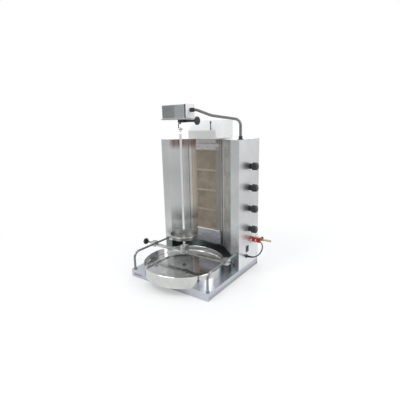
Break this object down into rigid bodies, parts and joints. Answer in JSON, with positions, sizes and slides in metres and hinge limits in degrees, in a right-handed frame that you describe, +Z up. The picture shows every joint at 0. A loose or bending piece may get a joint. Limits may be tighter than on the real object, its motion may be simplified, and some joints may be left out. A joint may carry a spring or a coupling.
{
  "type": "vertical rotisserie broiler",
  "caption": "Upright gas rotisserie grill: turning spit driven from a swing arm, ceramic burners between slanting wings, round drip pan on a square deck and side knobs.",
  "frame": {"origin": "centre of the base's footprint, at its underside", "axes": "+X to the right seen from the front, +Y to the back, +Z up"},
  "size_m": [0.673, 0.6842, 0.89],
  "materials": {
    "deck_steel": "satin",
    "chassis_steel": "brushed",
    "pan_steel": "polished",
    "rail_steel": "polished",
    "spit_steel": "polished",
    "plate_steel": "polished",
    "panel_steel": "brushed",
    "wing_steel": "brushed",
    "liner_steel": "brushed",
    "hood_steel": "brushed",
    "ceramic": "matte, pierced ceramic",
    "burner_steel": "satin",
    "strip_steel": "perforated",
    "pipe_paint": "satin",
    "valve_brass": "satin",
    "stem_steel": "turned",
    "knob_black": "semi-gloss",
    "bezel_black": "matte",
    "cock_brass": "satin",
    "lever_red": "gloss",
    "arm_chrome": "polished",
    "dark_metal": "satin black",
    "case_steel": "brushed",
    "flange_steel": "brushed",
    "motor_black": "satin",
    "gear_steel": "machined",
    "switch_black": "semi-gloss",
    "cord_black": "matte",
    "clip_black": "matte",
    "screw_steel": "polished"
  },
  "bodies": {
    "cabinet": {"base_tray": "deck_steel", "base_chassis": "chassis_steel", "side_rails": "rail_steel", "left_side_panel": "panel_steel", "right_side_panel": "panel_steel", "back_panel": "panel_steel", "top_panel": "panel_steel", "wing_panel_left": "wing_steel", "wing_panel_right": "wing_steel", "bay_liner": "liner_steel", "header_panel": "wing_steel", "skirt_panel": "wing_steel", "ceramic_tiles": "ceramic", "burner_bodies": "burner_steel", "flash_strip": "strip_steel", "gas_manifold": "pipe_paint", "gas_valves": "valve_brass", "knob_bezels": "bezel_black", "gas_cock": "cock_brass", "flue_hood": "hood_steel", "post_collar": "dark_metal", "switch_body": "switch_black", "cable_gland": "clip_black", "power_cable": "cord_black", "cable_coil": "cord_black", "mains_plug": "cord_black", "cable_clip": "clip_black", "panel_screws": "screw_steel"},
    "pan": {"drip_pan": "pan_steel"},
    "drain_plug": {"drain_plug": "pan_steel"},
    "carriage": {"cross_bar": "rail_steel", "clamp_blocks": "rail_steel"},
    "foot": {"foot_block": "rail_steel"},
    "spit": {"spit_rod": "spit_steel", "spit_plate": "plate_steel", "plate_collar": "spit_steel"},
    "clamp_left": {"clamp_knob_left": "knob_black"},
    "clamp_right": {"clamp_knob_right": "knob_black"},
    "arm": {"arm_tube": "arm_chrome", "arm_socket": "dark_metal", "motor_case": "case_steel", "motor_end_cover": "case_steel", "motor_flange": "flange_steel", "gear_motor": "motor_black", "lock_bar": "dark_metal"},
    "drive": {"drive_hook": "spit_steel", "drive_gear": "gear_steel"},
    "pinion": {"motor_pinion": "gear_steel"},
    "lock": {"lock_knob": "knob_black"},
    "lever": {"cock_lever": "lever_red"},
    "rocker": {"rocker": "switch_black"},
    "damper": {"damper_rod": "spit_steel"},
    "stem_1": {"valve_stem_1": "stem_steel"},
    "knob_1": {"gas_knob_1": "knob_black"},
    "stem_2": {"valve_stem_2": "stem_steel"},
    "knob_2": {"gas_knob_2": "knob_black"},
    "stem_3": {"valve_stem_3": "stem_steel"},
    "knob_3": {"gas_knob_3": "knob_black"},
    "stem_4": {"valve_stem_4": "stem_steel"},
    "knob_4": {"gas_knob_4": "knob_black"}
  },
  "joints": [
    {"name": "arm_swing", "type": "hinge", "parent": "cabinet", "child": "arm", "pos_m": [0.22, 0.1, 0.718], "axis": [0, 0, 1], "range_deg": [-6, 8]},
    {"name": "carriage_slide", "type": "slide", "parent": "cabinet", "child": "carriage", "axis": [0, 1, 0], "range_m": [-0.04, 0.03]},
    {"name": "foot_slide", "type": "slide", "parent": "carriage", "child": "foot", "axis": [1, 0, 0], "range_m": [-0.03, 0.03]},
    {"name": "spit_spin", "type": "hinge", "parent": "foot", "child": "spit", "pos_m": [-0.02, -0.078, 0.145], "axis": [0, 0, 1], "continuous": true},
    {"name": "drive_spin", "type": "hinge", "parent": "arm", "child": "drive", "pos_m": [-0.02, -0.078, 0.82], "axis": [0, 0, 1], "continuous": true},
    {"name": "pinion_spin", "type": "hinge", "parent": "arm", "child": "pinion", "pos_m": [-0.0575, -0.078, 0.83], "axis": [0, 0, 1], "continuous": true},
    {"name": "pan_slide", "type": "slide", "parent": "cabinet", "child": "pan", "axis": [0, -1, 0], "range_m": [0, 0.3]},
    {"name": "plug_lift", "type": "slide", "parent": "pan", "child": "drain_plug", "axis": [0, 0, 1], "range_m": [0, 0.025]},
    {"name": "clamp_turn_left", "type": "hinge", "parent": "carriage", "child": "clamp_left", "pos_m": [-0.27, -0.078, 0.133], "axis": [-1, 0, 0], "range_deg": [0, 360]},
    {"name": "clamp_turn_right", "type": "hinge", "parent": "carriage", "child": "clamp_right", "pos_m": [0.27, -0.078, 0.133], "axis": [1, 0, 0], "range_deg": [0, 360]},
    {"name": "lock_turn", "type": "hinge", "parent": "arm", "child": "lock", "pos_m": [0.06, -0.078, 0.813], "axis": [1, 0, 0], "range_deg": [0, 360]},
    {"name": "lever_turn", "type": "hinge", "parent": "cabinet", "child": "lever", "pos_m": [0.28, 0.19, 0.177], "axis": [0, -1, 0], "range_deg": [0, 90]},
    {"name": "rocker_tip", "type": "hinge", "parent": "cabinet", "child": "rocker", "pos_m": [0.247, 0.1255, 0.134], "axis": [0, 1, 0], "range_deg": [0, 16]},
    {"name": "damper_slide", "type": "slide", "parent": "cabinet", "child": "damper", "axis": [0, 0, 1], "range_m": [-0.012, 0]},
    {"name": "knob_turn_1", "type": "hinge", "parent": "cabinet", "child": "stem_1", "pos_m": [0.25, 0.1475, 0.2425], "axis": [1, 0, 0], "range_deg": [0, 180]},
    {"name": "knob_push_1", "type": "slide", "parent": "stem_1", "child": "knob_1", "axis": [-1, 0, 0], "range_m": [0, 0.005], "stiffness_N_per_m": 400},
    {"name": "knob_turn_2", "type": "hinge", "parent": "cabinet", "child": "stem_2", "pos_m": [0.25, 0.1475, 0.355], "axis": [1, 0, 0], "range_deg": [0, 180]},
    {"name": "knob_push_2", "type": "slide", "parent": "stem_2", "child": "knob_2", "axis": [-1, 0, 0], "range_m": [0, 0.005], "stiffness_N_per_m": 400},
    {"name": "knob_turn_3", "type": "hinge", "parent": "cabinet", "child": "stem_3", "pos_m": [0.25, 0.1475, 0.4675], "axis": [1, 0, 0], "range_deg": [0, 180]},
    {"name": "knob_push_3", "type": "slide", "parent": "stem_3", "child": "knob_3", "axis": [-1, 0, 0], "range_m": [0, 0.005], "stiffness_N_per_m": 400},
    {"name": "knob_turn_4", "type": "hinge", "parent": "cabinet", "child": "stem_4", "pos_m": [0.25, 0.1475, 0.58], "axis": [1, 0, 0], "range_deg": [0, 180]},
    {"name": "knob_push_4", "type": "slide", "parent": "stem_4", "child": "knob_4", "axis": [-1, 0, 0], "range_m": [0, 0.005], "stiffness_N_per_m": 400}
  ],
  "couplings": [
    {"joint": "carriage_slide", "follows": "arm_swing", "m_per_rad": -0.24},
    {"joint": "foot_slide", "follows": "arm_swing", "m_per_rad": 0.178},
    {"joint": "drive_spin", "follows": "spit_spin", "ratio": 1},
    {"joint": "pinion_spin", "follows": "spit_spin", "ratio": -4}
  ]
}
